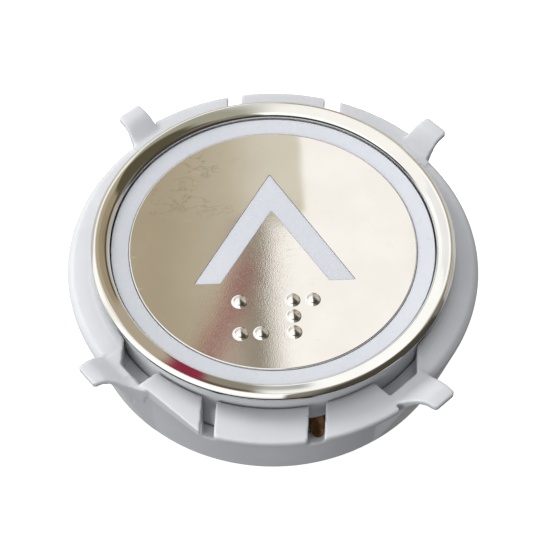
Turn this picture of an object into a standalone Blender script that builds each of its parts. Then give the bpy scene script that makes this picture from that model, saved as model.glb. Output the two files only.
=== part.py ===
"""Round lift call button: chrome bezel, steel face plate with an up arrow, light ring, mounting collar.

The button stands on the foot of its mounting collar. The origin is the centre of that foot, +Z is
the direction a finger comes from, and +Y is the way the arrow points. Sizes are in millimetres and
are turned into metres by the MM factor.
"""
import math

import bmesh
import bpy
from mathutils import Matrix, Vector

MM = 0.001
GAP = 0.3                      # clearance kept between pieces that touch

# Heights above the foot of the collar
FACE_Z = 13.3                  # top of the face plate
RING_Z = 13.15                 # top of the light ring, beside the plate
RING_EDGE_Z = 13.7             # top of the light ring, beside the bezel
BEZEL_TOP_Z = 14.45
LIP_UNDER_Z = 13.7             # flat underside of the bezel's lip, on the panel's front
HOUSING_TOP_Z = 12.4
FLANGE_Z = 11.2                # flat top of the petals, behind the panel
SLOT_FLOOR_Z = 5.0             # floor of the slots between the petals
CLIP_Z = 7.2                   # middle of the two bronze clips
BOARD_Z = 6.3                  # underside of the circuit board
BOARD_THICKNESS = 1.2
TRAVEL = 1.0                   # how far the cap is pressed

# Radii
BEZEL_RADIUS = 21.0
BEZEL_BORE = 18.8
PLATE_RADIUS = 16.6
CAP_RADIUS = 18.5
HOUSING_RADIUS = 20.0
HOUSING_BORE = 19.2
COLLAR_BORE = HOUSING_RADIUS + GAP
WALL_RADIUS = 21.8             # foot of the collar, front and back
SIDE_RADIUS = 24.0             # rim of its two side sections
PETAL_RADIUS = 24.8            # edge of its six petals
FRONT_ARM_RADIUS = 27.2        # tips of its four spring arms
BACK_ARM_RADIUS = 27.75
BOARD_RADIUS = 18.8

COLLAR_TURN = math.radians(-5.6)      # the collar is pushed on a little turned
FRONT_ARM_ANGLE = math.radians(46.5)  # from the collar's -Y axis
BACK_ARM_ANGLE = math.radians(43.5)   # from its +Y axis
SLOT_X = 6.0                   # slots between the petals, from the middle
SLOT_WIDTH = 1.7
NOTCH_CHORD = 22.2             # outer edge of the opening at the root of each arm
NOTCH_STEP_Z = 9.4             # below this height the opening is a narrower pocket
NOTCH_FLOOR_Z = 6.2
POCKET_CHORD = 21.3

# Up arrow: an open chevron, seen from above
ARROW_TIP_Y = 10.5
ARROW_INNER_Y = 5.15
ARROW_FOOT_Y = -4.95
ARROW_OUTER_X = 9.25
ARROW_INNER_X = 6.2

# Raised reading dots, two cells of a 2 x 3 grid
DOT_RADIUS = 0.8
DOT_HEIGHT = 0.45
DOT_PITCH_X = 2.3
DOT_PITCH_Y = 2.15
CELL_PITCH = 6.0
DOT_TOP_Y = -7.5
LEFT_CELL = ((0, 0), (0, 2), (1, 2))
RIGHT_CELL = ((0, 0), (0, 1), (0, 2), (1, 0))

SPRING_PLACES = [(8.0, math.radians(a)) for a in (90, 210, 330)]
SPRING_COIL_RADIUS = 1.35
SPRING_WIRE_RADIUS = 0.17
SPRING_TURNS = 4.0
BOARD_SCREWS = [(15.8, math.radians(a)) for a in (30, 150, 270)]
COVER_SCREWS = [(16.2, math.radians(a)) for a in (90, 210, 330)]
RING_LEDS = [(14.6, math.radians(a)) for a in range(0, 360, 60)]
ARROW_LEDS = [(7.6, math.radians(a)) for a in (35, 145)]
CONNECTOR_Y = 6.6              # middle of the four-way socket on the board's back
CONNECTOR_PITCH = 2.5

ROUND = 72                     # facets of the large circles
SMALL_ROUND = 14               # facets of screws, dots and pins
UNDER_CAP_Z = 11.7             # underside of the cap's top
SWITCH_TOP_Z = 10.1
PLUNGER_FOOT_Z = 9.4


def clear_scene():
    for item in list(bpy.data.objects):
        bpy.data.objects.remove(item, do_unlink=True)


def new_collection(name):
    group = bpy.data.collections.new(name)
    bpy.context.scene.collection.children.link(group)
    return group


def material(name, colour, roughness, metallic=0.0):
    mat = bpy.data.materials.new(name)
    mat.use_nodes = True
    shader = mat.node_tree.nodes["Principled BSDF"]
    shader.inputs["Base Color"].default_value = (*colour, 1.0)
    shader.inputs["Roughness"].default_value = roughness
    shader.inputs["Metallic"].default_value = metallic
    return mat


clear_scene()
PARTS = new_collection("lift_call_button")
CUTTERS = new_collection("cutters")

MATERIALS = {
    "collar": material("collar_plastic", (0.80, 0.82, 0.85), 0.40),
    "housing": material("housing_plastic", (0.50, 0.52, 0.54), 0.45),
    "cap": material("cap_diffuser", (0.72, 0.77, 0.84), 0.30),
    "chrome": material("chrome", (0.85, 0.84, 0.80), 0.06, 1.0),
    "steel": material("polished_steel", (0.80, 0.76, 0.68), 0.16, 1.0),
    "bronze": material("spring_bronze", (0.42, 0.26, 0.14), 0.30, 1.0),
    "screw": material("zinc_screw", (0.62, 0.63, 0.64), 0.35, 1.0),
    "board": material("board_laminate", (0.03, 0.22, 0.10), 0.40),
    "black": material("black_moulding", (0.03, 0.03, 0.03), 0.45),
    "white": material("white_moulding", (0.85, 0.85, 0.82), 0.45),
    "led": material("led_lens", (0.90, 0.86, 0.62), 0.20),
    "pin": material("tinned_pin", (0.75, 0.74, 0.70), 0.25, 1.0),
    "spring": material("spring_steel", (0.60, 0.60, 0.61), 0.25, 1.0),
}


def add_object(name, mesh, kind=None):
    """Put a mesh in the scene as a part, or as a cutter when it has no material kind."""
    item = bpy.data.objects.new(name, mesh)
    if kind is None:
        CUTTERS.objects.link(item)
        item.hide_render = True
        item.display_type = "WIRE"
    else:
        PARTS.objects.link(item)
        item.data.materials.append(MATERIALS[kind])
    return item


def mesh_from(name, build, closed=True):
    """Make a mesh with a bmesh building function."""
    mesh = bpy.data.meshes.new(name)
    shape = bmesh.new()
    build(shape)
    if closed:
        bmesh.ops.recalc_face_normals(shape, faces=shape.faces)
    shape.to_mesh(mesh)
    shape.free()
    return mesh


def turned(name, profile, kind=None, facets=ROUND):
    """Turn a closed profile of (radius, height) points about Z, outer side from top to bottom."""
    mesh = bpy.data.meshes.new(name)
    points = [(radius * MM, 0.0, height * MM) for radius, height in profile]
    edges = [(i, (i + 1) % len(points)) for i in range(len(points))]
    mesh.from_pydata(points, edges, [])
    item = add_object(name, mesh, kind)
    screw = item.modifiers.new("turn", "SCREW")
    screw.steps = screw.render_steps = facets
    screw.use_merge_vertices = True
    screw.merge_threshold = 0.00001
    screw.use_smooth_shade = False
    return item


def rod(name, radius, low, high, place=(0.0, 0.0), kind=None, facets=SMALL_ROUND):
    """An upright cylinder between two heights."""
    def build(shape):
        spot = Matrix.Translation(Vector((place[0], place[1], (low + high) / 2)) * MM)
        bmesh.ops.create_cone(shape, cap_ends=True, segments=facets, radius1=radius * MM,
                              radius2=radius * MM, depth=(high - low) * MM, matrix=spot)
    return add_object(name, mesh_from(name, build), kind)


def block(name, size, centre, kind=None, turn=0.0, bevel=0.0):
    """A box of (x, y, z) size, turned about the Z axis through the origin of the assembly."""
    def build(shape):
        bmesh.ops.create_cube(shape, size=1.0)
        bmesh.ops.scale(shape, vec=Vector(size) * MM, verts=shape.verts)
        bmesh.ops.translate(shape, vec=Vector(centre) * MM, verts=shape.verts)
        bmesh.ops.rotate(shape, cent=(0, 0, 0), matrix=Matrix.Rotation(turn, 3, "Z"),
                         verts=shape.verts)
    item = add_object(name, mesh_from(name, build), kind)
    if bevel:
        soften(item, bevel)
    return item


def outline(name, points, low, high, kind=None):
    """A flat outline of (x, y) points made solid between two heights."""
    curve = bpy.data.curves.new(name + "_outline", "CURVE")
    curve.dimensions = "2D"
    curve.fill_mode = "BOTH"
    curve.extrude = (high - low) / 2 * MM
    spline = curve.splines.new("POLY")
    spline.points.add(len(points) - 1)
    for target, (x, y) in zip(spline.points, points):
        target.co = (x * MM, y * MM, 0.0, 1.0)
    spline.use_cyclic_u = True
    guide = bpy.data.objects.new(name + "_outline", curve)
    bpy.context.scene.collection.objects.link(guide)
    guide.location.z = (low + high) / 2 * MM
    bpy.context.view_layer.update()
    graph = bpy.context.evaluated_depsgraph_get()
    mesh = bpy.data.meshes.new_from_object(guide.evaluated_get(graph))
    mesh.transform(guide.matrix_world)
    bpy.data.objects.remove(guide, do_unlink=True)
    shape = bmesh.new()
    shape.from_mesh(mesh)
    bmesh.ops.remove_doubles(shape, verts=shape.verts, dist=0.000001)
    bmesh.ops.recalc_face_normals(shape, faces=shape.faces)
    shape.to_mesh(mesh)
    shape.free()
    mesh.materials.clear()
    return add_object(name, mesh, kind)


def combine(target, operation, tools):
    for tool in tools:
        step = target.modifiers.new(tool.name, "BOOLEAN")
        step.operation = operation
        step.solver = "EXACT"
        step.object = tool


def cut(target, *tools):
    combine(target, "DIFFERENCE", tools)


def join(target, *tools):
    combine(target, "UNION", tools)


def soften(item, width, segments=1):
    edge = item.modifiers.new("edge", "BEVEL")
    edge.width = width * MM
    edge.segments = segments
    edge.limit_method = "ANGLE"
    edge.angle_limit = math.radians(40)


def around(place):
    """The (x, y) of a (radius, angle) place."""
    radius, angle = place
    return radius * math.cos(angle), radius * math.sin(angle)


def turned_point(x, y, angle):
    return (x * math.cos(angle) - y * math.sin(angle), x * math.sin(angle) + y * math.cos(angle))


def bezel_ring():
    """Chrome ring: rolled lip over the panel and a short skirt inside the housing."""
    crest = BEZEL_TOP_Z
    lip = [(20.2, crest), (20.6, crest - 0.06), (20.88, crest - 0.2), (BEZEL_RADIUS, crest - 0.42),
           (20.92, crest - 0.62), (20.7, LIP_UNDER_Z)]
    underside = [(20.1, LIP_UNDER_Z), (20.1, HOUSING_TOP_Z + GAP), (19.1, HOUSING_TOP_Z + GAP)]
    skirt = [(19.1, 11.0), (BEZEL_BORE, 11.0)]
    inner = [(BEZEL_BORE, crest - 0.78), (18.95, crest - 0.5), (19.3, crest - 0.25),
             (19.75, crest - 0.07)]
    turned("bezel_ring", lip + underside + skirt + inner, "chrome")


def arrow_points(inset=0.0):
    """Outline of the chevron, drawn inwards by the inset."""
    outer_slope = math.hypot(ARROW_OUTER_X, ARROW_TIP_Y - ARROW_FOOT_Y) / ARROW_OUTER_X
    inner_slope = math.hypot(ARROW_INNER_X, ARROW_INNER_Y - ARROW_FOOT_Y) / ARROW_INNER_X
    tip = ARROW_TIP_Y - inset * outer_slope
    notch = ARROW_INNER_Y + inset * inner_slope
    foot = ARROW_FOOT_Y + inset
    outer = ARROW_OUTER_X * (tip - foot) / (ARROW_TIP_Y - ARROW_FOOT_Y)
    inner = ARROW_INNER_X * (notch - foot) / (ARROW_INNER_Y - ARROW_FOOT_Y)
    return [(0, tip), (-outer, foot), (-inner, foot), (0, notch), (inner, foot), (outer, foot)]


def dot_places():
    places = []
    for side, cell in ((-1, LEFT_CELL), (1, RIGHT_CELL)):
        for column, row in cell:
            x = side * CELL_PITCH / 2 + (column - 0.5) * DOT_PITCH_X
            places.append((x, DOT_TOP_Y - row * DOT_PITCH_Y))
    return places


def reading_dot(name, place):
    """A low dome that reaches a little into the plate."""
    ball_radius = (DOT_RADIUS ** 2 + DOT_HEIGHT ** 2) / (2 * DOT_HEIGHT)
    rings = 3
    top = math.asin(DOT_RADIUS / ball_radius)
    crown = [(ball_radius * math.sin(top * i / rings),
              FACE_Z + DOT_HEIGHT - ball_radius * (1 - math.cos(top * i / rings)))
             for i in range(rings + 1)]
    foot = [(DOT_RADIUS, FACE_Z - 0.25), (0.0, FACE_Z - 0.25)]
    dome = turned(name, crown + foot, facets=SMALL_ROUND)
    dome.location = (place[0] * MM, place[1] * MM, 0.0)
    return dome


def face_plate():
    """Polished steel disc with the arrow cut out and the reading dots pressed up."""
    edge = 0.15
    low = FACE_Z - 0.5
    profile = [(0.0, FACE_Z), (PLATE_RADIUS - edge, FACE_Z), (PLATE_RADIUS, FACE_Z - edge),
               (PLATE_RADIUS, low), (0.0, low)]
    plate = turned("face_plate", profile, "steel")
    cut(plate, outline("arrow_opening", arrow_points(), low - 1, FACE_Z + 1))
    join(plate, *[reading_dot(f"dot_{i}", place) for i, place in enumerate(dot_places())])


def button_cap():
    """Translucent cap: light ring, seat for the plate, arrow insert, skirt and spring pegs."""
    seat = FACE_Z - 0.5 - GAP
    lip_radius = CAP_RADIUS + 0.45
    profile = [(PLATE_RADIUS + GAP, RING_Z), (CAP_RADIUS - 0.15, RING_EDGE_Z),
               (CAP_RADIUS, RING_EDGE_Z - 0.15), (CAP_RADIUS, 10.6), (lip_radius, 10.6),
               (lip_radius, 9.8), (17.4, 9.8), (17.4, UNDER_CAP_Z), (0.0, UNDER_CAP_Z), (0.0, seat),
               (PLATE_RADIUS + GAP, seat)]
    cap = turned("button_cap", profile, "cap")
    insert = outline("arrow_insert", arrow_points(GAP), seat - 0.2, FACE_Z - 0.1)
    boss = rod("cap_boss", 2.2, UNDER_CAP_Z - 0.3, UNDER_CAP_Z + 0.3)
    pegs = [rod(f"spring_peg_{i}", 0.75, 10.3, UNDER_CAP_Z + 0.3, around(place))
            for i, place in enumerate(SPRING_PLACES)]
    join(cap, insert, boss, *pegs)


def clip_angle(index):
    """The two bronze clips stand in the slots at the collar's front right and back left."""
    direction = math.atan2(-math.sqrt(HOUSING_RADIUS ** 2 - SLOT_X ** 2), SLOT_X)
    return direction + COLLAR_TURN + index * math.pi


def button_housing():
    """Thin round body that passes through the panel and carries the circuit board."""
    shelf_low = BOARD_Z - GAP - 1.2
    shelf_high = BOARD_Z - GAP
    shelf_bore = 14.2
    profile = [(HOUSING_RADIUS, HOUSING_TOP_Z), (HOUSING_RADIUS, 0.9), (HOUSING_BORE, 0.9),
               (HOUSING_BORE, shelf_low), (shelf_bore, shelf_low), (shelf_bore, shelf_high),
               (HOUSING_BORE, shelf_high), (HOUSING_BORE, 10.6), (HOUSING_BORE + 0.2, 10.8),
               (HOUSING_BORE + 0.2, HOUSING_TOP_Z)]
    housing = turned("button_housing", profile, "housing")
    bosses = [rod(f"cover_boss_{i}", 1.9, 2.7, shelf_high - 0.3, around(place))
              for i, place in enumerate(COVER_SCREWS)]
    join(housing, *bosses)
    cuts = [rod(f"boss_bore_{i}", 1.0, 1.0, 4.9, around(place))
            for i, place in enumerate(COVER_SCREWS)]
    cuts += [rod(f"shelf_bore_{i}", 1.0, 4.0, 7.0, around(place))
             for i, place in enumerate(BOARD_SCREWS)]
    cuts += [block(f"clip_window_{i}", (2.4, 3.2, 4.4), (HOUSING_RADIUS, 0.0, CLIP_Z),
                   turn=clip_angle(i)) for i in range(2)]
    cut(housing, *cuts)


def bezel_clips():
    """Bronze leaves in the housing's two windows, which hold the bezel down."""
    for i in range(2):
        clip = block(f"bezel_clip_{i + 1}", (0.35, 2.6, 3.8), (HOUSING_RADIUS - 0.25, 0.0, CLIP_Z),
                     "bronze", turn=clip_angle(i))
        soften(clip, 0.12, 2)


def collar_body():
    """Turned blank of the collar, with the petals' flange all the way round."""
    profile = [(COLLAR_BORE, FLANGE_Z - 0.4), (COLLAR_BORE + 0.4, FLANGE_Z),
               (PETAL_RADIUS - 0.3, FLANGE_Z), (PETAL_RADIUS, FLANGE_Z - 0.25),
               (PETAL_RADIUS, FLANGE_Z - 0.9), (PETAL_RADIUS - 0.5, FLANGE_Z - 1.3),
               (WALL_RADIUS + 0.7, FLANGE_Z - 1.9), (WALL_RADIUS + 0.1, FLANGE_Z - 3.0),
               (WALL_RADIUS, 0.5), (WALL_RADIUS - 0.5, 0.0), (19.3, 0.0), (19.3, 0.6),
               (COLLAR_BORE, 0.6)]
    return turned("mounting_collar", profile, "collar")


def side_section(name):
    """Turned blank of the side sections: a sloping shoulder over a tapering wall."""
    base = WALL_RADIUS + 0.2
    profile = [(COLLAR_BORE + 0.2, FLANGE_Z - 0.2), (COLLAR_BORE + 0.5, FLANGE_Z - 0.05),
               (SIDE_RADIUS - 0.6, FLANGE_Z - 0.15), (SIDE_RADIUS - 0.15, FLANGE_Z - 0.4),
               (SIDE_RADIUS, FLANGE_Z - 0.9), (base, 0.5), (base - 0.4, 0.15),
               (WALL_RADIUS - 0.8, 0.25), (COLLAR_BORE + 0.2, 0.9)]
    return turned(name, profile)


def side_wedges(name, front_half, back_half):
    """Two wedges left and right, that reach these angles to the front and the back."""
    reach = 40.0
    front_x, front_y = around((reach, math.radians(front_half)))
    back_x, back_y = around((reach, math.radians(back_half)))
    points = [(back_x, back_y), (0.6, 0.5), (-0.6, 0.5), (-back_x, back_y),
              (-front_x, -front_y), (-0.6, -0.5), (0.6, -0.5), (front_x, -front_y)]
    return outline(name, [turned_point(*p, COLLAR_TURN) for p in points], -1, 20)


def flange_trim(name, radius, front_half, back_half):
    """Takes the petals' flange off outside a radius, inside the two side wedges."""
    ring = turned(name, [(PETAL_RADIUS + 3, FLANGE_Z + 3), (PETAL_RADIUS + 3, FLANGE_Z - 5),
                         (radius, FLANGE_Z - 5), (radius, FLANGE_Z + 3)])
    combine(ring, "INTERSECT", [side_wedges(name + "_wedges", front_half, back_half)])
    return ring


def petal_cut():
    """Takes the overhang of the front left petal off along a straight line."""
    distance = 22.65
    normal = math.radians(-129.4)
    corners = [(distance, -1.0), (distance + 6, -1.0), (distance + 6, 16.5), (distance, 10.5)]
    points = [turned_point(*p, normal + COLLAR_TURN) for p in corners]
    return outline("petal_cut", points, FLANGE_Z - 4, FLANGE_Z + 3)


def arm_places():
    """Each spring arm's angle, the side its petal lies on (+1 is anticlockwise), its tip's radius
    and the x of the side of its notch."""
    front = math.radians(270)
    back = math.radians(90)
    return [(front - FRONT_ARM_ANGLE, 1, FRONT_ARM_RADIUS, -16.3),
            (front + FRONT_ARM_ANGLE, -1, FRONT_ARM_RADIUS, 16.9),
            (back - BACK_ARM_ANGLE, 1, BACK_ARM_RADIUS, 16.8),
            (back + BACK_ARM_ANGLE, -1, BACK_ARM_RADIUS, -16.8)]


def notch(name, angle, petal_side, side_x, reach, chord, floor):
    """The opening between the housing and the root of an arm, out to a chord and down to a floor."""
    near = 17.0
    axis = Vector((math.cos(angle), math.sin(angle)))
    across = Vector((-math.sin(angle), math.cos(angle))) * petal_side
    corners = [axis * near + across * reach, axis * chord + across * reach]
    step = (side_x - (axis * chord).x) / across.x
    corners.append(axis * chord + across * step)
    side_y = corners[-1].y - 6.0 * (1 if math.sin(angle) > 0 else -1)
    corners.append(Vector((side_x, side_y)))
    points = [turned_point(corner.x, corner.y, COLLAR_TURN) for corner in corners]
    return outline(name, points, floor, FLANGE_Z + 3)


def arm(name, angle, tip_radius):
    """A springy tongue that rises from the flange, flat at its tip."""
    start = NOTCH_CHORD + 0.15
    rise = [(0.0, -0.3), (0.18, -0.25), (0.4, -0.1), (0.6, 0.45), (0.8, 1.1), (0.92, 1.38), (1.0, 1.4)]
    root_half = 2.4
    tip_half = 1.75
    thickness = 0.9

    def build(shape):
        rows = []
        for share, height in rise:
            radius = start + (tip_radius - start) * share
            half = root_half + (tip_half - root_half) * min(1.0, 1.2 * share)
            corner = 0.35 if share == 1.0 else 0.0
            z = FLANGE_Z + height
            rows.append([shape.verts.new(Vector(p) * MM) for p in (
                (radius - corner, -half, z), (radius, -half + 0.35, z), (radius, half - 0.35, z),
                (radius - corner, half, z))])
        for row, following in zip(rows, rows[1:]):
            for i in range(3):
                shape.faces.new((row[i], following[i], following[i + 1], row[i + 1]))
        bmesh.ops.rotate(shape, cent=(0, 0, 0), matrix=Matrix.Rotation(angle, 3, "Z"),
                         verts=shape.verts)
    item = add_object(name, mesh_from(name, build, closed=False))
    shell = item.modifiers.new("thickness", "SOLIDIFY")
    shell.thickness = thickness * MM
    shell.offset = -1.0
    return item


def mounting_collar():
    """Snap-on collar: foot ring, two side sections, six petals and four spring arms."""
    collar = collar_body()
    cut(collar, flange_trim("side_trim", COLLAR_BORE + 0.9, 39.7, 39.7),
        flange_trim("arm_trim", NOTCH_CHORD + 1.0, 52.6, 51.5))
    sides = side_section("side_blank")
    combine(sides, "INTERSECT", [side_wedges("side_wedges", 41.3, 41.3)])
    join(collar, sides)
    slots = [block(f"petal_slot_{i}", (SLOT_WIDTH, 60.0, 10.0), (x, 0.0, SLOT_FLOOR_Z + 5.0),
                   turn=COLLAR_TURN)
             for i, x in enumerate((-SLOT_X, SLOT_X))]
    notches = []
    for i, (angle, side, _, side_x) in enumerate(arm_places()):
        notches.append(notch(f"arm_notch_{i}", angle, side, side_x, 3.0, NOTCH_CHORD, NOTCH_STEP_Z))
        notches.append(notch(f"arm_pocket_{i}", angle, side, side_x * 0.99, 2.8, POCKET_CHORD,
                             NOTCH_FLOOR_Z))
    cut(collar, petal_cut(), *slots, *notches)
    join(collar, *[arm(f"arm_{i}", angle + COLLAR_TURN, tip_radius)
                   for i, (angle, _, tip_radius, _) in enumerate(arm_places())])


def circuit_board():
    top = BOARD_Z + BOARD_THICKNESS
    board = rod("circuit_board", BOARD_RADIUS, BOARD_Z, top, kind="board", facets=64)
    holes = [rod(f"board_hole_{i}", 1.0, BOARD_Z - 1, top + 1, around(place))
             for i, place in enumerate(BOARD_SCREWS)]
    holes += [rod(f"pin_hole_{i}", 0.65, BOARD_Z - 1, top + 1, place, facets=8)
              for i, place in enumerate(pin_places())]
    cut(board, *holes)


def leds():
    low = BOARD_Z + BOARD_THICKNESS + 0.1
    for i, (radius, angle) in enumerate(RING_LEDS):
        block(f"ring_led_{i + 1}", (2.8, 3.5, 1.2), (radius, 0.0, low + 0.6), "led", turn=angle,
              bevel=0.25)
    for i, (radius, angle) in enumerate(ARROW_LEDS):
        block(f"arrow_led_{i + 1}", (2.8, 3.5, 1.2), (radius, 0.0, low + 0.6), "led", turn=angle,
              bevel=0.25)


def resistors():
    low = BOARD_Z + BOARD_THICKNESS + 0.1
    for i, x in enumerate((-3.2, 0.0, 3.2)):
        block(f"resistor_{i + 1}", (2.0, 1.25, 0.5), (x, -9.5, low + 0.25), "black", bevel=0.08)


def tact_switch():
    """Square switch with its plunger in a round well."""
    low = BOARD_Z + BOARD_THICKNESS + 0.1
    body = block("switch_body", (6.0, 6.0, SWITCH_TOP_Z - low), (0, 0, (SWITCH_TOP_Z + low) / 2),
                 "black", bevel=0.3)
    cut(body, rod("plunger_well", 1.9, PLUNGER_FOOT_Z - TRAVEL - GAP, SWITCH_TOP_Z + 1))
    plunger = rod("switch_plunger", 1.55, PLUNGER_FOOT_Z, UNDER_CAP_Z - 0.3 - GAP, kind="white")
    soften(plunger, 0.15)


def reflector_ring():
    low = BOARD_Z + BOARD_THICKNESS + 0.1
    turned("reflector_ring", [(12.4, 10.2), (12.4, low), (11.4, low), (11.7, 10.2)], "white",
           facets=64)


def coil_points(place):
    """A helix with closed, flat end turns."""
    low = BOARD_Z + BOARD_THICKNESS + 0.15 + SPRING_WIRE_RADIUS
    high = UNDER_CAP_Z - 0.15 - SPRING_WIRE_RADIUS
    steps = 10
    count = int(SPRING_TURNS * steps)
    x, y = around(place)
    points = []
    for i in range(count + 1):
        angle = 2 * math.pi * i / steps
        share = i / count
        rise = min(max((share - 0.12) / 0.76, 0.0), 1.0)
        crowd = 0.06 * (share - rise)
        points.append((x + SPRING_COIL_RADIUS * math.cos(angle),
                       y + SPRING_COIL_RADIUS * math.sin(angle),
                       low + (high - low) * (rise + crowd)))
    return points


def return_springs():
    for i, place in enumerate(SPRING_PLACES):
        curve = bpy.data.curves.new(f"return_spring_{i + 1}", "CURVE")
        curve.dimensions = "3D"
        curve.bevel_depth = SPRING_WIRE_RADIUS * MM
        curve.bevel_resolution = 1
        curve.use_fill_caps = True
        points = coil_points(place)
        spline = curve.splines.new("POLY")
        spline.points.add(len(points) - 1)
        for target, point in zip(spline.points, points):
            target.co = (*(Vector(point) * MM), 1.0)
        spring = bpy.data.objects.new(f"return_spring_{i + 1}", curve)
        PARTS.objects.link(spring)
        curve.materials.append(MATERIALS["spring"])


def pin_places():
    return [((i - 1.5) * CONNECTOR_PITCH, CONNECTOR_Y) for i in range(4)]


def connector():
    """Four-way socket that opens downwards, with its pins through the board."""
    low = 0.5
    high = BOARD_Z - GAP
    shell = block("socket_shell", (12.4, 5.8, high - low), (0, CONNECTOR_Y, (low + high) / 2),
                  "white")
    cavity = block("socket_cavity", (11.0, 4.4, 5.0), (0, CONNECTOR_Y, low - 1.0 + 2.5))
    key = block("socket_key", (6.0, 3.0, 3.5), (0, CONNECTOR_Y + 3.6, low - 0.5 + 1.75))
    holes = [rod(f"socket_hole_{i}", 0.6, 3.0, high + 1, place, facets=8)
             for i, place in enumerate(pin_places())]
    cut(shell, cavity, key, *holes)
    for i, (x, y) in enumerate(pin_places()):
        block(f"socket_pin_{i + 1}", (0.6, 0.6, 7.0), (x, y, 5.0), "pin", bevel=0.1)


def screw(name, place, head_z, head_way, length):
    """Pan-head screw with a cross recess; head_way is +1 when its head is on top."""
    x, y = around(place)
    way = head_way
    crown = [(0.0, 0.0), (1.1, 0.0), (1.45, -0.25), (1.45, -0.8), (0.72, -0.8),
             (0.72, -0.8 - length), (0.0, -0.8 - length)]
    profile = [(radius, way * depth) for radius, depth in crown]
    if way < 0:
        profile.reverse()
    item = turned(name, profile, "screw", facets=SMALL_ROUND)
    item.location = (x * MM, y * MM, head_z * MM)
    bar_z = head_z * MM
    tools = []
    for i, size in enumerate(((1.7, 0.34, 0.7), (0.34, 1.7, 0.7))):
        bar = block(f"{name}_recess_{i}", size, (0, 0, 0))
        bar.location = (x * MM, y * MM, bar_z)
        tools.append(bar)
    cut(item, *tools)


def screws():
    for i, place in enumerate(BOARD_SCREWS):
        screw(f"board_screw_{i + 1}", place, BOARD_Z + BOARD_THICKNESS + GAP + 0.8, 1, 2.6)
    for i, place in enumerate(COVER_SCREWS):
        screw(f"cover_screw_{i + 1}", place, 0.3, -1, 3.2)


def rear_cover():
    cover = rod("rear_cover", HOUSING_BORE - GAP, 1.35, 2.4, kind="white", facets=64)
    opening = block("socket_opening", (13.0, 6.4, 4.0), (0, CONNECTOR_Y, 2.0))
    holes = [rod(f"cover_hole_{i}", 1.05, 0.0, 4.0, around(place))
             for i, place in enumerate(COVER_SCREWS)]
    cut(cover, opening, *holes)


bezel_ring()
face_plate()
button_cap()
button_housing()
bezel_clips()
mounting_collar()
circuit_board()
leds()
resistors()
tact_switch()
reflector_ring()
return_springs()
connector()
screws()
rear_cover()

for part in PARTS.objects:
    if part.type == "MESH":
        part.data.shade_smooth()
        part.data.set_sharp_from_angle(angle=math.radians(35))
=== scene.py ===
"""Looks of a round lift call button: chrome bezel, mirror-polished plate, milky cap and snap-in collar.

Every size is in millimetres in the CAD frame and becomes metres through MM. The driving sizes are read
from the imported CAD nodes; what is written here is the shape of edges, fillets and surfaces.
"""
import math

import bmesh
import bpy
from mathutils import Matrix, Vector

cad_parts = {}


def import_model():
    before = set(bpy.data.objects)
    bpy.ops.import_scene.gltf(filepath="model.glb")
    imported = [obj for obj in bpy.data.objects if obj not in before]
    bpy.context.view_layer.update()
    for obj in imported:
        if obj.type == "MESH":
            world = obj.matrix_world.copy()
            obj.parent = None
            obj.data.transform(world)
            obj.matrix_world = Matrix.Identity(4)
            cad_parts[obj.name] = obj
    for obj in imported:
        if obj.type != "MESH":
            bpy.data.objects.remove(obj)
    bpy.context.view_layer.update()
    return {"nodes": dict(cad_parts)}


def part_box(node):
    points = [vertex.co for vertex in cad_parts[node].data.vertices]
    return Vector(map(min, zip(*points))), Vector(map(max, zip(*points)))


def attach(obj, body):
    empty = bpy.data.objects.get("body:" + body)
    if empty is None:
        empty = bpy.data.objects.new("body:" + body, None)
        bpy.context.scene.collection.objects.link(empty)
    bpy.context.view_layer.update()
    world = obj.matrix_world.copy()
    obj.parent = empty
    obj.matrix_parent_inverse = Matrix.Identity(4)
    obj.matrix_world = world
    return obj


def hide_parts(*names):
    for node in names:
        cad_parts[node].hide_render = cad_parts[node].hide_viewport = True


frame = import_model()
MM = 0.001


def extent(node):
    """Lowest and highest corner of a CAD node in millimetres."""
    low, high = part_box(node)
    return low / MM, high / MM


def centre_of(node):
    """Centre of a CAD node in millimetres."""
    low, high = extent(node)
    return (low + high) / 2


BEZEL_LOW, BEZEL_HIGH = extent("bezel_ring")
PLATE_LOW, PLATE_HIGH = extent("face_plate")
CAP_LOW, CAP_HIGH = extent("button_cap")
HOUSING_LOW, HOUSING_HIGH = extent("button_housing")
_, COLLAR_HIGH = extent("mounting_collar")
COVER_LOW, COVER_HIGH = extent("rear_cover")
SHELL_LOW, SHELL_HIGH = extent("socket_shell")

DOT_HEIGHT = 0.45
BEZEL_RADIUS = BEZEL_HIGH.x
BEZEL_TOP = BEZEL_HIGH.z
PLATE_RADIUS = PLATE_HIGH.x
FACE = PLATE_HIGH.z - DOT_HEIGHT        # top of the plate
RING = FACE - 0.15                      # top of the light ring beside the plate
RING_EDGE = CAP_HIGH.z - 0.2            # and beside the bezel
RING_RADIUS = 18.66
HOUSING_RADIUS = HOUSING_HIGH.x
HOUSING_TOP = HOUSING_HIGH.z
PETAL_RADIUS = COLLAR_HIGH.y
SIDE_RADIUS = COLLAR_HIGH.x
ARM_TOP = COLLAR_HIGH.z
FLANGE = ARM_TOP - 1.4                  # flat tops of the petals
SLOT_FLOOR = 5.0                        # floor of the slots between the petals
COLLAR_TURN = math.radians(-5.6)
FINE = 256                              # facets of the large circles

# Up arrow, an open chevron
ARROW = {"tip": 10.5, "inner": 5.15, "foot": -4.95, "outer_x": 9.25, "inner_x": 6.2}

# Reading dots: two cells, each a list of (column, row)
DOT_PITCH_X = 2.3
DOT_PITCH_Y = 2.15
CELL_PITCH = 6.0
DOT_TOP_Y = -7.5
CELLS = ((-1, ((0, 0), (0, 2), (1, 2))), (1, ((0, 0), (0, 1), (0, 2), (1, 0))))


# ---------------------------------------------------------------- shapes

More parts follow.
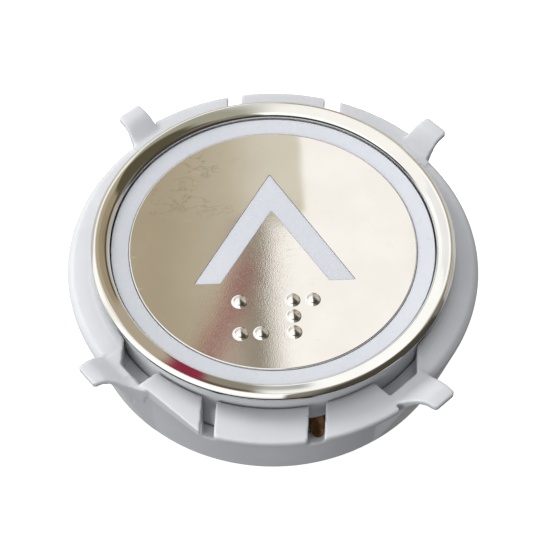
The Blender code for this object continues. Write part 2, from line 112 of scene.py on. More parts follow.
def filleted(corners, steps=6):
    """Closed outline through (x, y, fillet) corners, with an arc in place of each sharp one."""
    points = []
    count = len(corners)
    for i, (x, y, fillet) in enumerate(corners):
        here = Vector((x, y))
        if not fillet:
            points.append(here)
            continue
        before = Vector(corners[i - 1][:2]) - here
        after = Vector(corners[(i + 1) % count][:2]) - here
        half = before.angle(after) / 2
        reach = min(fillet / math.tan(half), 0.48 * before.length, 0.48 * after.length)
        middle = (before.normalized() + after.normalized()).normalized()
        centre = here + middle * (reach / math.cos(half))
        start = here + before.normalized() * reach - centre
        end = here + after.normalized() * reach - centre
        sweep = math.atan2(start.x * end.y - start.y * end.x, start.dot(end))
        for k in range(steps + 1):
            turn = sweep * k / steps
            points.append(centre + Matrix.Rotation(turn, 2) @ start)
    return points


def new_object(name, mesh):
    item = bpy.data.objects.new(name, mesh)
    bpy.context.scene.collection.objects.link(item)
    return item


def from_bmesh(name, shape):
    bmesh.ops.remove_doubles(shape, verts=shape.verts, dist=0.000001)
    bmesh.ops.recalc_face_normals(shape, faces=shape.faces)
    mesh = bpy.data.meshes.new(name)
    shape.to_mesh(mesh)
    shape.free()
    return new_object(name, mesh)


def turned(name, outline, facets=FINE, place=(0.0, 0.0)):
    """A closed (radius, height) outline turned about an upright axis."""
    shape = bmesh.new()
    rings = []
    for i in range(facets):
        angle = 2 * math.pi * i / facets
        rings.append([shape.verts.new(Vector((place[0] + r * math.cos(angle),
                                              place[1] + r * math.sin(angle), z)) * MM)
                      for r, z in outline])
    for i in range(facets):
        ring, following = rings[i], rings[(i + 1) % facets]
        for k in range(len(outline)):
            after = (k + 1) % len(outline)
            shape.faces.new((ring[k], following[k], following[after], ring[after]))
    return from_bmesh(name, shape)


def prism(name, outline, low, high):
    """A flat outline made solid between two heights."""
    shape = bmesh.new()
    floor = [shape.verts.new(Vector((x, y, low)) * MM) for x, y in outline]
    roof = [shape.verts.new(Vector((x, y, high)) * MM) for x, y in outline]
    shape.faces.new(floor)
    shape.faces.new(roof)
    for k in range(len(outline)):
        after = (k + 1) % len(outline)
        shape.faces.new((floor[k], floor[after], roof[after], roof[k]))
    return from_bmesh(name, shape)


def turn_about_axis(points, angle):
    turn = Matrix.Rotation(angle, 2)
    return [turn @ Vector(point) for point in points]


def bake(item):
    """Make the modifiers' result the object's own mesh."""
    bpy.context.view_layer.update()
    graph = bpy.context.evaluated_depsgraph_get()
    mesh = bpy.data.meshes.new_from_object(item.evaluated_get(graph))
    item.modifiers.clear()
    item.data = mesh
    return item


def combine(item, operation, tools):
    """Cut with, join or keep inside the tools, which are used up."""
    for tool in tools:
        step = item.modifiers.new(tool.name, "BOOLEAN")
        step.operation = operation
        step.solver = "EXACT"
        step.object = tool
    bake(item)
    for tool in tools:
        bpy.data.objects.remove(tool, do_unlink=True)
    return item


def soften(item, width, segments=2, limit=40):
    edge = item.modifiers.new("edge", "BEVEL")
    edge.width = width * MM
    edge.segments = segments
    edge.limit_method = "ANGLE"
    edge.angle_limit = math.radians(limit)
    edge.harden_normals = True
    return item


def smooth(item, limit=35):
    """Smooth shading that keeps large flat faces flat."""
    item.data.shade_smooth()
    item.data.set_sharp_from_angle(angle=math.radians(limit))
    level = item.modifiers.new("flat faces", "WEIGHTED_NORMAL")
    level.mode = "FACE_AREA"
    level.weight = 80
    level.keep_sharp = True
    return bake(item)


def dress(item, body, slot, material, *nodes):
    """Give a finished piece its material, its CAD body and the nodes it stands for. The slot is not used.
    """
    item.data.materials.clear()
    item.data.materials.append(material)
    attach(item, body)
    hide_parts(*nodes)
    return item


# ---------------------------------------------------------------- materials

class Graph:
    """Short names for building a node tree."""

    def __init__(self, tree):
        self.tree = tree

    def node(self, kind, **settings):
        item = self.tree.nodes.new(kind)
        for key, value in settings.items():
            setattr(item, key, value)
        return item

    def feed(self, socket, value):
        if isinstance(value, bpy.types.NodeSocket):
            self.tree.links.new(value, socket)
        else:
            socket.default_value = value

    def maths(self, operation, first, second=0.0):
        item = self.node("ShaderNodeMath", operation=operation)
        self.feed(item.inputs[0], first)
        self.feed(item.inputs[1], second)
        return item.outputs[0]

    def step(self, value, start, end, low=0.0, high=1.0):
        """Goes smoothly from low to high as the value passes from start to end."""
        item = self.node("ShaderNodeMapRange", interpolation_type="SMOOTHSTEP")
        self.feed(item.inputs["Value"], value)
        self.feed(item.inputs["From Min"], start)
        self.feed(item.inputs["From Max"], end)
        self.feed(item.inputs["To Min"], low)
        self.feed(item.inputs["To Max"], high)
        return item.outputs["Result"]

    def mix(self, share, first, second):
        item = self.node("ShaderNodeMix", data_type="RGBA")
        self.feed(item.inputs[0], share)
        for socket, colour in ((item.inputs[6], first), (item.inputs[7], second)):
            self.feed(socket, (*colour, 1.0) if isinstance(colour, tuple) else colour)
        return item.outputs[2]

    def position(self):
        return self.node("ShaderNodeTexCoord").outputs["Object"]

    def noise(self, size, detail=2.0, stretch=(1.0, 1.0, 1.0)):
        """Noise whose features are about size millimetres across."""
        place = self.node("ShaderNodeMapping")
        self.feed(place.inputs["Vector"], self.position())
        self.feed(place.inputs["Scale"], stretch)
        item = self.node("ShaderNodeTexNoise")
        self.feed(item.inputs["Vector"], place.outputs["Vector"])
        self.feed(item.inputs["Scale"], 1.0 / (size * MM))
        self.feed(item.inputs["Detail"], detail)
        return item.outputs["Fac"]

    def bump(self, height, depth, under=None):
        """Bump whose full range is depth millimetres."""
        item = self.node("ShaderNodeBump")
        self.feed(item.inputs["Height"], height)
        self.feed(item.inputs["Distance"], depth * MM)
        if under is not None:
            self.feed(item.inputs["Normal"], under)
        return item.outputs["Normal"]


def surface(name, colours, roughness, patch=6.0, grain=0.12, depth=0.0006, metallic=0.0, **sockets):
    """A finish that drifts between two colours and two roughnesses, with a fine moulded or worked grain."""
    mat = bpy.data.materials.new(name)
    mat.use_nodes = True
    shader = mat.node_tree.nodes["Principled BSDF"]
    graph = Graph(mat.node_tree)
    drift = graph.step(graph.noise(patch, 3.0), 0.3, 0.7)
    graph.feed(shader.inputs["Base Color"], graph.mix(drift, *colours))
    worn = graph.step(graph.noise(patch * 0.35, 4.0), 0.3, 0.7, *roughness)
    graph.feed(shader.inputs["Roughness"], worn)
    graph.feed(shader.inputs["Normal"], graph.bump(graph.noise(grain, 2.0), depth))
    shader.inputs["Metallic"].default_value = metallic
    for socket, value in sockets.items():
        shader.inputs[socket.replace("_", " ")].default_value = value
    return mat


def milky(name, colours, roughness, weight, depth=0.0006):
    """Translucent moulding: light goes about a millimetre in."""
    return surface(name, colours, roughness, patch=9.0, depth=depth, Subsurface_Weight=weight,
                   Subsurface_Radius=(1.0, 0.95, 0.9), Subsurface_Scale=1.2 * MM)


def mirror_steel():
    """Polished plate: a faint orange peel, stronger below the arrow, and greasy marks at its upper left."""
    mat = bpy.data.materials.new("mirror_steel")
    mat.use_nodes = True
    shader = mat.node_tree.nodes["Principled BSDF"]
    graph = Graph(mat.node_tree)
    split = graph.node("ShaderNodeSeparateXYZ")
    graph.feed(split.inputs[0], graph.position())
    x, y, _ = split.outputs

    drift = graph.step(graph.noise(5.0, 3.0), 0.35, 0.7)
    tone = graph.mix(drift, (0.885, 0.88, 0.865), (0.92, 0.915, 0.905))
    veins = graph.maths("ABSOLUTE", graph.maths("SUBTRACT", graph.noise(2.6, 5.0, (1.0, 1.5, 1.0)), 0.5))
    grease = graph.maths("MULTIPLY", graph.step(veins, 0.05, 0.0), graph.step(x, -0.002, -0.006))
    grease = graph.maths("MULTIPLY", grease, graph.step(y, 0.003, 0.007))
    grease = graph.maths("MULTIPLY", grease, graph.step(graph.noise(4.0, 1.0), 0.42, 0.56))
    speck = graph.step(graph.noise(0.25, 2.0), 0.35, 0.65, 0.25, 0.8)
    grease = graph.maths("MULTIPLY", grease, speck)
    graph.feed(shader.inputs["Base Color"], graph.mix(grease, tone, (0.62, 0.60, 0.50)))

    polish = graph.step(graph.noise(2.4, 6.0, (1.0, 2.2, 1.0)), 0.60, 0.72, 0.03, 0.09)
    graph.feed(shader.inputs["Roughness"], graph.maths("ADD", polish, graph.maths("MULTIPLY", grease, 0.1)))

    wave = graph.bump(graph.noise(7.0, 1.0), 0.010)
    peel = graph.bump(graph.noise(0.12, 1.5), 0.0015, wave)
    graph.feed(peel.node.inputs["Strength"], graph.step(y, 0.007, 0.000, 0.1, 1.0))
    graph.feed(shader.inputs["Normal"], peel)
    shader.inputs["Metallic"].default_value = 1.0
    return mat


FINISH = {
    "chrome": surface("chrome_plate", ((0.86, 0.86, 0.84), (0.90, 0.90, 0.89)), (0.03, 0.06),
                      grain=0.5, depth=0.0002, metallic=1.0),
    "steel": mirror_steel(),
    "cap": milky("cap_diffuser", ((0.60, 0.615, 0.65), (0.62, 0.635, 0.665)), (0.26, 0.32), 0.35,
                 depth=0.0002),
    "collar": milky("collar_moulding", ((0.595, 0.60, 0.62), (0.63, 0.635, 0.65)), (0.38, 0.50), 0.45,
                    depth=0.0010),
    "housing": milky("housing_moulding", ((0.64, 0.65, 0.665), (0.68, 0.69, 0.70)), (0.40, 0.52), 0.15,
                     depth=0.0010),
    "cover": milky("cover_moulding", ((0.72, 0.72, 0.68), (0.76, 0.76, 0.73)), (0.42, 0.55), 0.2),
    "white": surface("white_moulding", ((0.74, 0.74, 0.70), (0.79, 0.79, 0.76)), (0.40, 0.55)),
    "black": surface("black_moulding", ((0.020, 0.020, 0.022), (0.035, 0.034, 0.033)), (0.40, 0.55),
                     patch=1.5, grain=0.08, depth=0.0015),
    "bronze": surface("spring_bronze", ((0.30, 0.15, 0.07), (0.52, 0.30, 0.15)), (0.24, 0.40),
                      patch=1.2, grain=0.2, depth=0.0010, metallic=1.0),
    "screw": surface("zinc_plate", ((0.55, 0.56, 0.58), (0.70, 0.70, 0.70)), (0.25, 0.42),
                     patch=0.8, grain=0.15, depth=0.0010, metallic=1.0),
    "wire": surface("drawn_wire", ((0.50, 0.50, 0.52), (0.66, 0.66, 0.67)), (0.20, 0.36),
                    patch=0.8, grain=0.1, depth=0.0008, metallic=1.0),
    "pin": surface("tin_plate", ((0.68, 0.66, 0.61), (0.80, 0.78, 0.74)), (0.20, 0.34),
                   patch=0.8, grain=0.15, depth=0.0008, metallic=1.0),
    "board": surface("solder_mask", ((0.015, 0.13, 0.055), (0.03, 0.20, 0.085)), (0.22, 0.38),
                     patch=3.0, grain=0.3, depth=0.0010),
    "led": surface("led_resin", ((0.80, 0.74, 0.40), (0.88, 0.84, 0.62)), (0.12, 0.25), patch=1.0,
                   grain=0.3),
}

NODE_FINISH = {
    "circuit_board": "board", "ring_led": "led", "arrow_led": "led", "resistor": "black",
    "switch_body": "black", "switch_plunger": "white", "reflector_ring": "white",
    "return_spring": "wire", "socket_pin": "pin", "board_screw": "screw",
}


def finish_cad_nodes():
    """The hidden CAD pieces keep their shape and get a worked finish."""
    for name, node in frame["nodes"].items():
        kinds = [kind for start, kind in NODE_FINISH.items() if name.startswith(start)]
        if kinds:
            node.data.materials.clear()
            node.data.materials.append(FINISH[kinds[0]])


# ---------------------------------------------------------------- metal pieces

def bezel():
    """Rolled chrome ring: a band that leans in a little, a round outer roll and a soft inner edge."""
    top = BEZEL_TOP
    bore = 18.8
    skirt = 19.1
    seat_radius = 20.1
    seat = HOUSING_TOP + 0.3
    outline = filleted([
        (bore, top - 0.66, 0.12), (18.98, top - 0.40, 0.5), (19.25, top - 0.29, 2.0),
        (19.95, top - 0.10, 6.0), (20.5, top, 0.3),
        (BEZEL_RADIUS, top - 0.42, 0.45), (BEZEL_RADIUS - 0.12, top - 0.75, 0.12),
        (seat_radius, top - 0.75, 0.1), (seat_radius, seat, 0.0), (skirt, seat, 0.1),
        (skirt, BEZEL_LOW.z, 0.06), (bore, BEZEL_LOW.z, 0.06)], steps=8)
    ring = turned("bezel", outline)
    smooth(ring, 50)
    dress(ring, "base", "chrome", FINISH["chrome"], "bezel_ring")


def arrow_outline(inset, fillet):
    """The chevron drawn inwards by the inset, with rounded corners."""
    rise = ARROW["tip"] - ARROW["foot"]
    inner_rise = ARROW["inner"] - ARROW["foot"]
    tip = ARROW["tip"] - inset * math.hypot(ARROW["outer_x"], rise) / ARROW["outer_x"]
    inner = ARROW["inner"] + inset * math.hypot(ARROW["inner_x"], inner_rise) / ARROW["inner_x"]
    foot = ARROW["foot"] + inset
    outer_x = ARROW["outer_x"] * (tip - foot) / rise
    inner_x = ARROW["inner_x"] * (inner - foot) / inner_rise
    return filleted([(0, tip, fillet), (-outer_x, foot, fillet), (-inner_x, foot, fillet),
                     (0, inner, fillet), (inner_x, foot, fillet), (outer_x, foot, fillet)], 4)


def dot_outline():
    """A pressed dome with a hollow skirt that runs out into the plate."""
    crown_radius = 0.62
    skirt_radius = 0.98
    steps = 14
    points = []
    for k in range(steps + 1):
        r = skirt_radius * k / steps
        share = min(r / crown_radius, 1.0)
        dome = math.sqrt(max(0.0, 1.0 - (0.80 * share) ** 2))
        if r <= crown_radius:
            z = DOT_HEIGHT * (0.30 + 0.70 * (dome - 0.6) / 0.4)
        else:
            out = (r - crown_radius) / (skirt_radius - crown_radius)
            z = DOT_HEIGHT * 0.30 * (1.0 - out) ** 2
        points.append((r, FACE + z - 0.004))
    return points + [(skirt_radius, FACE - 0.2), (0.0, FACE - 0.2)]


def plate():
    """Mirror-polished disc with the arrow cut through and seven pressed dots."""
    edge = 0.12
    low = PLATE_LOW.z
    disc = turned("plate", filleted([(0.0, low, 0.0), (PLATE_RADIUS, low, 0.05),
                                     (PLATE_RADIUS, FACE, edge), (0.0, FACE, 0.0)]))
    combine(disc, "DIFFERENCE", [prism("arrow_opening", arrow_outline(0.0, 0.12), low - 1, FACE + 1)])
    disc.data.set_sharp_from_angle(angle=math.radians(50))
    for face in disc.data.polygons:
        face.use_smooth = abs(face.normal.z) < 0.999
    dots = []
    for side, cell in CELLS:
        for column, row in cell:
            x = side * CELL_PITCH / 2 + (column - 0.5) * DOT_PITCH_X
            dots.append(turned("dot", dot_outline(), 48, (x, DOT_TOP_Y - row * DOT_PITCH_Y)))
    for dot in dots:
        dot.data.shade_smooth()
        dot.data.set_sharp_from_angle(angle=math.radians(50))
    with bpy.context.temp_override(active_object=disc, selected_editable_objects=[disc, *dots]):
        bpy.ops.object.join()
    dress(disc, "cap", "polished_steel", FINISH["steel"], "face_plate")


def clips():
    """Bronze leaves that come out of the housing and lean on the floor of two of the collar's slots."""
    steps = 14
    half_columns = 4
    half_width = 0.80
    drop = 2.45
    swing = 1.25
    for i in (1, 2):
        centre = centre_of(f"bezel_clip_{i}")
        turn = Matrix.Rotation(math.atan2(centre.y, centre.x), 3, "Z")
        shape = bmesh.new()
        rows = []
        for k in range(steps + 1):
            share = k / steps
            z = SLOT_FLOOR + 2.6 - drop * share
            radius = HOUSING_RADIUS - 0.12 + swing * share ** 1.3
            width = half_width * math.sqrt(max(0.1, 1.0 - max(0.0, (share - 0.7) / 0.3) ** 2))
            rows.append([shape.verts.new((turn @ Vector((radius, width * j / half_columns, z))) * MM)
                         for j in range(-half_columns, half_columns + 1)])
        for row, following in zip(rows, rows[1:]):
            for j in range(2 * half_columns):
                shape.faces.new((row[j], row[j + 1], following[j + 1], following[j]))
        leaf = from_bmesh(f"clip_leaf_{i}", shape)
        shell = leaf.modifiers.new("thickness", "SOLIDIFY")
        shell.thickness = 0.25 * MM
        shell.offset = 0.0
        soften(leaf, 0.05)
        bake(leaf)
        smooth(leaf, 50)
        dress(leaf, "base", "spring_bronze", FINISH["bronze"], f"bezel_clip_{i}")


def screws():
    """Pan-head screws with a cross recess, seen in the back."""
    for i in (1, 2, 3):
        low, high = extent(f"cover_screw_{i}")
        middle = (low + high) / 2
        head = 1.45
        z = low.z
        outline = filleted([(0.0, z, 0.0), (1.1, z, 0.3), (head, z + 0.3, 0.12), (head, z + 0.8, 0.04),
                            (0.72, z + 0.8, 0.0), (0.72, high.z - 0.3, 0.1), (0.45, high.z, 0.05),
                            (0.0, high.z, 0.0)], 4)
        item = turned(f"screw_{i}", outline, 48, (middle.x, middle.y))
        bars = []
        for turn in (0.0, math.pi / 2):
            bar = turn_about_axis([(-0.85, -0.17), (0.85, -0.17), (0.85, 0.17), (-0.85, 0.17)], turn)
            bars.append(prism("recess", [(middle.x + x, middle.y + y) for x, y in bar],
                              z - 0.3, z + 0.45))
        combine(item, "DIFFERENCE", bars)
        soften(item, 0.03, 2, 50)
        bake(item)
        smooth(item)
        dress(item, "base", "zinc_screw", FINISH["screw"], f"cover_screw_{i}")


# ---------------------------------------------------------------- mouldings

def cap():
    """Milky cap: light ring round the plate, seat below it, skirt with its lip, and the arrow insert."""
    inner = PLATE_RADIUS + 0.06
    seat = PLATE_LOW.z - 0.05
    under = seat - 0.8
    lip = CAP_HIGH.x
    lip_top = 10.6
    skirt_bore = 17.4
    outline = filleted([
        (0.0, under, 0.0), (skirt_bore, under, 0.3), (skirt_bore, CAP_LOW.z, 0.08),
        (lip, CAP_LOW.z, 0.15), (lip, lip_top, 0.15), (RING_RADIUS, lip_top, 0.1),
        (RING_RADIUS, RING_EDGE, 0.1), (inner, RING, 0.12), (inner, seat, 0.0), (0.0, seat, 0.0)])
    item = turned("cap", outline)
    chevron = prism("arrow_insert", arrow_outline(0.03, 0.10), seat - 0.2, FACE - 0.03)
    soften(chevron, 0.05, 2, 50)
    bake(chevron)
    root = under + 0.2
    boss_radius = 2.2
    boss = turned("boss", [(0.0, root), (boss_radius, root), (boss_radius, under - 0.3),
                           (0.0, under - 0.3)], 64)
    peg_radius = 0.75
    peg_place = 8.0
    peg_end = CAP_LOW.z + 0.5
    pegs = []
    for i in range(3):
        angle = math.radians(90 + 120 * i)
        peg = filleted([(0.0, peg_end, 0.0), (peg_radius, peg_end, 0.2), (peg_radius, root, 0.0),
                        (0.0, root, 0.0)])
        pegs.append(turned("peg", peg, 32, (peg_place * math.cos(angle), peg_place * math.sin(angle))))
    combine(item, "UNION", [chevron, boss, *pegs])
    smooth(item)
    dress(item, "cap", "cap_diffuser", FINISH["cap"], "button_cap")


def housing():
    """Grey body with a soft rim, a moulding line round its neck, and a window behind each clip."""
    bore = HOUSING_RADIUS - 0.8
    neck = HOUSING_TOP
    shelf_bore = 14.2
    shelf_low, shelf_high = 4.8, 6.0
    outline = filleted([
        (HOUSING_RADIUS, HOUSING_LOW.z, 0.2), (HOUSING_RADIUS, neck - 0.55, 0.0),
        (HOUSING_RADIUS - 0.07, neck - 0.48, 0.0), (HOUSING_RADIUS - 0.07, neck - 0.36, 0.0),
        (HOUSING_RADIUS, neck - 0.3, 0.0), (HOUSING_RADIUS, neck, 0.12), (bore + 0.2, neck, 0.06),
        (bore + 0.2, 10.8, 0.0), (bore, 10.6, 0.0), (bore, shelf_high, 0.0), (shelf_bore, shelf_high, 0.1),
        (shelf_bore, shelf_low, 0.1), (bore, shelf_low, 0.2), (bore, HOUSING_LOW.z, 0.1)], 4)
    item = turned("housing", outline)
    windows = []
    for i in (1, 2):
        low, high = extent(f"bezel_clip_{i}")
        middle = (low + high) / 2
        angle = math.atan2(middle.y, middle.x)
        window = turn_about_axis([(18.0, -1.6), (22.0, -1.6), (22.0, 1.6), (18.0, 1.6)], angle)
        windows.append(prism("window", window, low.z - 0.3, SLOT_FLOOR + 2.75))
    combine(item, "DIFFERENCE", windows)
    soften(item, 0.06, 2, 60)
    bake(item)
    smooth(item)
    dress(item, "base", "housing_plastic", FINISH["housing"], "button_housing")


def cover():
    """Back cover with a raised rim, a shallow dish and an opening for the socket."""
    low, high = COVER_LOW.z, COVER_HIGH.z
    radius = COVER_HIGH.x
    outline = filleted([(0.0, low + 0.2, 0.0), (radius - 1.5, low + 0.2, 0.15), (radius - 1.2, low, 0.15),
                        (radius, low, 0.2), (radius, high, 0.1), (0.0, high, 0.0)])
    item = turned("back_cover", outline)
    middle = (SHELL_LOW.y + SHELL_HIGH.y) / 2
    opening = filleted([(-6.5, middle - 3.2, 0.4), (6.5, middle - 3.2, 0.4), (6.5, middle + 3.2, 0.4),
                        (-6.5, middle + 3.2, 0.4)])
    tools = [prism("socket_opening", opening, low - 1, high + 1)]
    for i in (1, 2, 3):
        spot = centre_of(f"cover_screw_{i}")
        hole = [(0.0, low - 1), (1.05, low - 1), (1.05, high + 1), (0.0, high + 1)]
        tools.append(turned("cover_hole", hole, 48, (spot.x, spot.y)))
    combine(item, "DIFFERENCE", tools)
    soften(item, 0.08, 2, 60)
    bake(item)
    smooth(item)
    dress(item, "base", "cover_plastic", FINISH["cover"], "rear_cover")


def socket():
    """Four-way socket shell that opens downwards, with its keyway."""
    low, high = SHELL_LOW, SHELL_HIGH
    middle = (low.y + high.y) / 2
    outer = filleted([(low.x, low.y, 0.25), (high.x, low.y, 0.25), (high.x, high.y, 0.25),
                      (low.x, high.y, 0.25)], 4)
    item = prism("socket", outer, low.z, high.z)
    cavity = [(-5.5, middle - 2.2), (5.5, middle - 2.2), (5.5, middle + 2.2), (-5.5, middle + 2.2)]
    key = [(-3.0, middle + 1.5), (3.0, middle + 1.5), (3.0, high.y + 1), (-3.0, high.y + 1)]
    tools = [prism("cavity", cavity, low.z - 1, low.z + 3.5), prism("key", key, low.z - 1, low.z + 3.0)]
    for i in range(4):
        pin = centre_of(f"socket_pin_{i + 1}")
        hole = [(0.0, 3.0), (0.45, 3.0), (0.45, high.z + 1), (0.0, high.z + 1)]
        tools.append(turned("pin_hole", hole, 24, (pin.x, pin.y)))
    combine(item, "DIFFERENCE", tools)
    soften(item, 0.1, 2, 60)
    bake(item)
    smooth(item)
    dress(item, "base", "white_moulding", FINISH["white"], "socket_shell")


# ---------------------------------------------------------------- mounting collar

BORE = HOUSING_RADIUS + 0.12
WALL = 21.8                             # front and back wall at the foot
NOTCH_CHORD = 22.5                      # outer edge of the opening at the root of each arm
POCKET_CHORD = 21.7                     # and of the narrower pocket below it
NOTCH_DEPTH = 1.8
POCKET_DEPTH = 3.0
ARM_ROOT = 22.4
SLOTS = ((-6.0, 0.8), (6.0, 0.92))      # x and half width of the slots between the petals
SIDE_HALF = 41.3                        # degrees that a side section reaches to the front and the back
SIDE_RUN_OUT = 23.0                     # and further on at its foot
TRIM_HALF = 39.7                        # the same for the flange that is taken off over a side section
ARM_TRIM = (52.6, 51.5)                 # and between an arm and the next petal, at the front and the back

# Arms: angle, side its petal lies on, tip radius and half width, x of the side of its notch, how far
# the notch reaches across, how far the root flares out towards the petal and the side section
ARMS = [(math.radians(270 - 47.5), 1, 26.8, 1.6, -16.2, 3.9, 3.4, 0.3),
        (math.radians(270 + 46.5), -1, 27.6, 1.55, 16.9, 3.4, 3.6, 0.3),
        (math.radians(90 - 43.5), 1, 27.3, 1.65, 16.8, 3.0, 0.4, 0.8),
        (math.radians(90 + 43.5), -1, 27.2, 1.6, -16.8, 3.0, 0.4, 0.8)]


def collar_blank():
    """Turned body with the petals' flange all the way round."""
    return turned("collar", filleted([
        (BORE, 0.6, 0.0), (19.3, 0.6, 0.0), (19.3, 0.0, 0.1), (WALL - 0.3, 0.0, 0.5), (WALL, 0.6, 0.5),
        (WALL + 0.1, FLANGE - 3.0, 1.0), (WALL + 0.8, FLANGE - 1.8, 1.0),
        (PETAL_RADIUS - 0.4, FLANGE - 1.25, 0.4), (PETAL_RADIUS, FLANGE - 0.85, 0.3),
        (PETAL_RADIUS, FLANGE, 0.22), (BORE + 0.45, FLANGE, 0.2), (BORE, FLANGE - 0.45, 0.0)], 5))


def side_blank():
    """Turned blank of the side sections: a sloping shoulder over a tapering wall."""
    base = WALL + 0.05
    return turned("side", filleted([
        (BORE + 0.1, 0.9, 0.0), (base - 0.6, 0.15, 0.3), (base, 0.6, 0.5),
        (SIDE_RADIUS, FLANGE - 1.0, 0.9), (SIDE_RADIUS - 0.7, FLANGE - 0.15, 0.6),
        (BORE + 0.5, FLANGE - 0.05, 0.3), (BORE + 0.1, FLANGE - 0.45, 0.0)], 5))


def wedges(name, front_half, back_half, run_out=0.0):
    """Two wedges, left and right, that reach these angles to the front and the back.

    With a run-out they end in a slanted line, that meets the body this many degrees further on.
    """
    beyond, rim, inside = 40, 24.4, 20.9

    def right_side(half, way):
        angle = math.radians(half)
        path = [(beyond * math.cos(angle), beyond * math.sin(angle))]
        if run_out:
            foot = math.radians(half + run_out)
            path += [(rim * math.cos(angle), rim * math.sin(angle)),
                     (inside * math.cos(foot), inside * math.sin(foot))]
        return [(x, way * y) for x, y in path]

    back, front = right_side(back_half, 1), right_side(front_half, -1)
    middle = [(0.6, 0.5), (-0.6, 0.5), (-0.6, -0.5), (0.6, -0.5)]
    points = back + middle[:2] + [(-x, y) for x, y in reversed(back)]
    points += [(-x, y) for x, y in front] + middle[2:] + front[::-1]
    return prism(name, turn_about_axis(points, COLLAR_TURN), -1, 20)


def flange_trim(radius, front_half, back_half):
    """Takes the petals' flange off outside a radius, inside the two wedges."""
    ring = turned("trim", [(PETAL_RADIUS + 3, FLANGE - 5), (radius, FLANGE - 5), (radius, FLANGE + 3),
                           (PETAL_RADIUS + 3, FLANGE + 3)], 128)
    return combine(ring, "INTERSECT", [wedges("trim_wedges", front_half, back_half)])


def slot_cutter(x, half):
    """Slot between two petals, flared at its mouth so that their corners come out round."""
    mouth = PETAL_RADIUS - 0.75
    right = [(x + half, -mouth), (x + half, mouth), (x + half + 0.9, mouth + 1.6)]
    left = [(x - half - 0.9, mouth + 1.6), (x - half, mouth), (x - half, -mouth)]
    foot = [(x - half - 0.9, -mouth - 1.6), (x + half + 0.9, -mouth - 1.6)]
    return prism("slot", turn_about_axis(right + left + foot, COLLAR_TURN), SLOT_FLOOR, FLANGE + 5)


def notch_cutter(angle, petal_side, side_x, reach, chord, depth):
    """Opening between the housing and the root of an arm, out to a chord and down by a depth."""
    axis = Vector((math.cos(angle), math.sin(angle)))
    across = Vector((-math.sin(angle), math.cos(angle))) * petal_side
    corners = [axis * 17.0 + across * reach, axis * chord + across * reach]
    step = (side_x - (axis * chord).x) / across.x
    corners.append(axis * chord + across * step)
    side_y = corners[-1].y - 6.0 * (1 if math.sin(angle) > 0 else -1)
    corners.append(Vector((side_x, side_y)))
    return prism("notch", turn_about_axis(corners, COLLAR_TURN), FLANGE - depth, FLANGE + 3)


def arm(angle, petal_side, tip_radius, tip_half, petal_flare, side_flare):
    """Springy tongue: a broad, thick root that thins out as it climbs to a flat, square tip."""
    rows = 26
    columns = 16
    climb = ARM_TOP - 0.02 - FLANGE
    tip_thickness = 0.85
    root_thickness = 3.15
    shape = bmesh.new()
    roof, floor = [], []
    for i in range(rows + 1):
        share = i / rows
        radius = ARM_ROOT + (tip_radius - ARM_ROOT) * share
        lift = min(max((share - 0.08) / 0.70, 0.0), 1.0)
        height = climb * lift * lift * (3 - 2 * lift)
        sunk = 0.05 + 0.15 * max(0.0, 1 - share / 0.4)
        thinning = min(share / 0.62, 1.0)
        eased = 1 - thinning * thinning * (3 - 2 * thinning)
        thickness = tip_thickness + (root_thickness - tip_thickness) * eased
        corner = 0.30 * (max(0.0, share - 0.93) / 0.07) ** 2
        near = tip_half + petal_flare * (1 - share) ** 2 - corner
        off = tip_half + side_flare * (1 - share) ** 2 - corner
        top_row, low_row = [], []
        for j in range(columns + 1):
            across = ((near + off) * j / columns - off) * petal_side
            crown = 0.05 * (1 - (2 * j / columns - 1) ** 2)
            top, low = FLANGE + height - sunk + crown, FLANGE + height - thickness
            for row, z in ((top_row, top), (low_row, low)):
                row.append(shape.verts.new(Vector((radius, across, z)) * MM))
        roof.append(top_row)
        floor.append(low_row)
    for sheet in (roof, floor):
        for row, following in zip(sheet, sheet[1:]):
            for j in range(columns):
                shape.faces.new((row[j], following[j], following[j + 1], row[j + 1]))
    for i in range(rows):
        for j in (0, columns):
            shape.faces.new((roof[i][j], roof[i + 1][j], floor[i + 1][j], floor[i][j]))
    for i in (0, rows):
        for j in range(columns):
            shape.faces.new((roof[i][j], roof[i][j + 1], floor[i][j + 1], floor[i][j]))
    bmesh.ops.rotate(shape, cent=(0, 0, 0), matrix=Matrix.Rotation(angle, 3, "Z"), verts=shape.verts)
    return from_bmesh("arm", shape)


def petal_cut():
    """The front left petal loses its overhang towards the arm."""
    distance = 22.65
    normal = math.radians(-129.4)
    corners = [(distance, -1.0), (distance, 10.5), (distance + 6, 16.5), (distance + 6, -1.0)]
    points = turn_about_axis(corners, normal + COLLAR_TURN)
    return prism("petal_cut", points, FLANGE - 6, FLANGE + 3)


